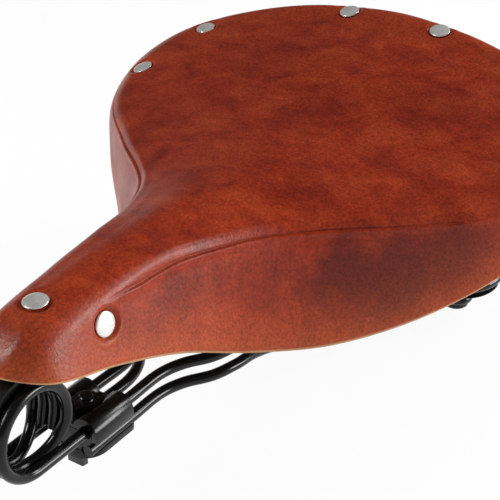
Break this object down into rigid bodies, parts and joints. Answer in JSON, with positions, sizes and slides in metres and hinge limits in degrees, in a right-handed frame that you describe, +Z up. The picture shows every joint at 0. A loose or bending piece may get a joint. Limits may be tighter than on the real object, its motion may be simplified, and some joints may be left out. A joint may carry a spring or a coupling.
{
  "type": "bicycle saddle",
  "caption": "Leather bicycle saddle stretched between a riveted nose and rear plate, sprung on a front wire coil and rear coil springs, with double rails and a rail clamp.",
  "frame": {"origin": "underside of the clamp's rocker, on the clamp bolt's axis", "axes": "+Z up, -Y toward the nose, +X toward the rider's left"},
  "size_m": [0.232, 0.2968, 0.1245],
  "materials": {
    "leather": "smooth, waxed, with dark patches",
    "wire": "gloss black",
    "plate": "satin black",
    "clamp": "satin black",
    "rivet": "polished, domed",
    "zinc": "zinc plated"
  },
  "bodies": {
    "clamp": {"clamp_upper_jaw": "clamp", "clamp_middle_jaw": "clamp", "clamp_lower_jaw": "clamp", "clamp_bolt": "clamp", "clamp_washer": "clamp", "clamp_nut": "clamp"},
    "frame": {"upper_rail_left": "wire", "upper_rail_right": "wire", "lower_rail_left": "wire", "lower_rail_right": "wire", "rear_spring_left": "wire", "rear_spring_right": "wire", "lower_spring_cup_left": "plate", "lower_spring_cup_right": "plate", "lower_spring_bolts": "plate", "lower_spring_washers": "zinc", "lower_spring_nuts": "zinc"},
    "seat": {"leather_top": "leather", "nose_bracket": "plate", "cantle_plate": "plate", "nose_rivets": "rivet", "cantle_rivets": "rivet", "coil_shackle": "plate", "tension_bolt": "zinc", "upper_spring_cup_left": "plate", "upper_spring_cup_right": "plate", "upper_spring_bolts": "zinc"},
    "tension_nut": {"tension_nut": "zinc"}
  },
  "joints": [
    {"name": "rail_slide", "type": "slide", "parent": "clamp", "child": "frame", "axis": [0, 1, 0], "range_m": [-0.008, 0.008]},
    {"name": "seat_bounce", "type": "hinge", "parent": "frame", "child": "seat", "pos_m": [0, -0.0353, 0.036], "axis": [-1, 0, 0], "range_deg": [0, 5], "stiffness_Nm_per_rad": 700, "springref_deg": -0.57, "deforming": ["rear_spring_left", "rear_spring_right"]},
    {"name": "tension_nut_spin", "type": "hinge", "parent": "seat", "child": "tension_nut", "pos_m": [0, -0.0221, 0.0625], "axis": [0, 1, 0], "continuous": true}
  ]
}
